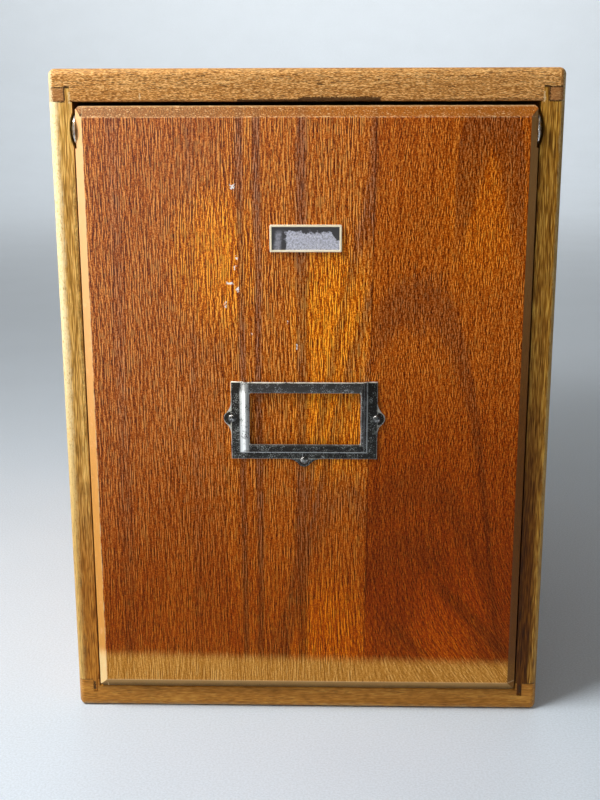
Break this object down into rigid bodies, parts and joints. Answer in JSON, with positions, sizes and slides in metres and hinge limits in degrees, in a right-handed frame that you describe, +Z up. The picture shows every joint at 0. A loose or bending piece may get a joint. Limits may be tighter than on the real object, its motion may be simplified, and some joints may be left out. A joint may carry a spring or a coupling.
{
  "type": "microscope slide cabinet",
  "caption": "Wooden slide cabinet: a front door swings up on side pivots and carries a label holder and a blank plate; shallow drawers with low knobs hold slides in flat lanes.",
  "frame": {"origin": "middle of the case's underside, on the surface it stands on", "axes": "+X to the right seen from the front, +Y to the back, +Z up"},
  "size_m": [0.2286, 0.3744, 0.3095],
  "materials": {
    "case_oak": "worn satin varnish, golden brown",
    "door_oak": "worn satin varnish, red brown",
    "back_wood": "plain, dusty",
    "runner_wood": "bare hardwood, polished by use",
    "drawer_oak": "satin varnish",
    "drawer_wood": "bare, smooth",
    "hardboard": "pressed board, smooth upper face",
    "knob_brass": "turned, dulled by handling",
    "dark_steel": "blackened, worn bright on the bends",
    "bright_steel": "plain, slightly stained",
    "plate_metal": "etched field, worn, bright border"
  },
  "bodies": {
    "case": {"top_board": "case_oak", "bottom_board": "case_oak", "left_side": "case_oak", "right_side": "case_oak", "back_panel": "back_wood", "side_runners": "runner_wood"},
    "door": {"door_panel": "door_oak", "label_holder": "dark_steel", "label_holder_pins": "bright_steel", "name_plate": "plate_metal", "pivot_buttons": "bright_steel"},
    "drawer_01": {"drawer_01_front": "drawer_oak", "drawer_01_frame": "drawer_wood", "drawer_01_bottom": "hardboard", "drawer_01_knob": "knob_brass"},
    "drawer_02": {"drawer_02_front": "drawer_oak", "drawer_02_frame": "drawer_wood", "drawer_02_bottom": "hardboard", "drawer_02_knob": "knob_brass"},
    "drawer_03": {"drawer_03_front": "drawer_oak", "drawer_03_frame": "drawer_wood", "drawer_03_bottom": "hardboard", "drawer_03_knob": "knob_brass"},
    "drawer_04": {"drawer_04_front": "drawer_oak", "drawer_04_frame": "drawer_wood", "drawer_04_bottom": "hardboard", "drawer_04_knob": "knob_brass"},
    "drawer_05": {"drawer_05_front": "drawer_oak", "drawer_05_frame": "drawer_wood", "drawer_05_bottom": "hardboard", "drawer_05_knob": "knob_brass"},
    "drawer_06": {"drawer_06_front": "drawer_oak", "drawer_06_frame": "drawer_wood", "drawer_06_bottom": "hardboard", "drawer_06_knob": "knob_brass"},
    "drawer_07": {"drawer_07_front": "drawer_oak", "drawer_07_frame": "drawer_wood", "drawer_07_bottom": "hardboard", "drawer_07_knob": "knob_brass"},
    "drawer_08": {"drawer_08_front": "drawer_oak", "drawer_08_frame": "drawer_wood", "drawer_08_bottom": "hardboard", "drawer_08_knob": "knob_brass"},
    "drawer_09": {"drawer_09_front": "drawer_oak", "drawer_09_frame": "drawer_wood", "drawer_09_bottom": "hardboard", "drawer_09_knob": "knob_brass"},
    "drawer_10": {"drawer_10_front": "drawer_oak", "drawer_10_frame": "drawer_wood", "drawer_10_bottom": "hardboard", "drawer_10_knob": "knob_brass"},
    "drawer_11": {"drawer_11_front": "drawer_oak", "drawer_11_frame": "drawer_wood", "drawer_11_bottom": "hardboard", "drawer_11_knob": "knob_brass"},
    "drawer_12": {"drawer_12_front": "drawer_oak", "drawer_12_frame": "drawer_wood", "drawer_12_bottom": "hardboard", "drawer_12_knob": "knob_brass"}
  },
  "joints": [
    {"name": "door_swing", "type": "hinge", "parent": "case", "child": "door", "pos_m": [0, -0.18025, 0.2832], "axis": [-1, 0, 0], "range_deg": [0, 90]},
    {"name": "drawer_01_slide", "type": "slide", "parent": "case", "child": "drawer_01", "axis": [0, -1, 0], "range_m": [0, 0.27]},
    {"name": "drawer_02_slide", "type": "slide", "parent": "case", "child": "drawer_02", "axis": [0, -1, 0], "range_m": [0, 0.27]},
    {"name": "drawer_03_slide", "type": "slide", "parent": "case", "child": "drawer_03", "axis": [0, -1, 0], "range_m": [0, 0.27]},
    {"name": "drawer_04_slide", "type": "slide", "parent": "case", "child": "drawer_04", "axis": [0, -1, 0], "range_m": [0, 0.27]},
    {"name": "drawer_05_slide", "type": "slide", "parent": "case", "child": "drawer_05", "axis": [0, -1, 0], "range_m": [0, 0.27]},
    {"name": "drawer_06_slide", "type": "slide", "parent": "case", "child": "drawer_06", "axis": [0, -1, 0], "range_m": [0, 0.27]},
    {"name": "drawer_07_slide", "type": "slide", "parent": "case", "child": "drawer_07", "axis": [0, -1, 0], "range_m": [0, 0.27]},
    {"name": "drawer_08_slide", "type": "slide", "parent": "case", "child": "drawer_08", "axis": [0, -1, 0], "range_m": [0, 0.27]},
    {"name": "drawer_09_slide", "type": "slide", "parent": "case", "child": "drawer_09", "axis": [0, -1, 0], "range_m": [0, 0.27]},
    {"name": "drawer_10_slide", "type": "slide", "parent": "case", "child": "drawer_10", "axis": [0, -1, 0], "range_m": [0, 0.27]},
    {"name": "drawer_11_slide", "type": "slide", "parent": "case", "child": "drawer_11", "axis": [0, -1, 0], "range_m": [0, 0.27]},
    {"name": "drawer_12_slide", "type": "slide", "parent": "case", "child": "drawer_12", "axis": [0, -1, 0], "range_m": [0, 0.27]}
  ],
  "couplings": [
    {"joint": "drawer_01_slide", "follows": "door_swing", "m_per_rad": 0.019},
    {"joint": "drawer_02_slide", "follows": "door_swing", "m_per_rad": 0.041},
    {"joint": "drawer_03_slide", "follows": "door_swing", "m_per_rad": 0.063},
    {"joint": "drawer_04_slide", "follows": "door_swing", "m_per_rad": 0.085},
    {"joint": "drawer_05_slide", "follows": "door_swing", "m_per_rad": 0.107},
    {"joint": "drawer_06_slide", "follows": "door_swing", "m_per_rad": 0.128},
    {"joint": "drawer_07_slide", "follows": "door_swing", "m_per_rad": 0.15},
    {"joint": "drawer_08_slide", "follows": "door_swing", "m_per_rad": 0.17},
    {"joint": "drawer_09_slide", "follows": "door_swing", "m_per_rad": 0.17},
    {"joint": "drawer_10_slide", "follows": "door_swing", "m_per_rad": 0.17},
    {"joint": "drawer_11_slide", "follows": "door_swing", "m_per_rad": 0.17},
    {"joint": "drawer_12_slide", "follows": "door_swing", "m_per_rad": 0.17}
  ]
}
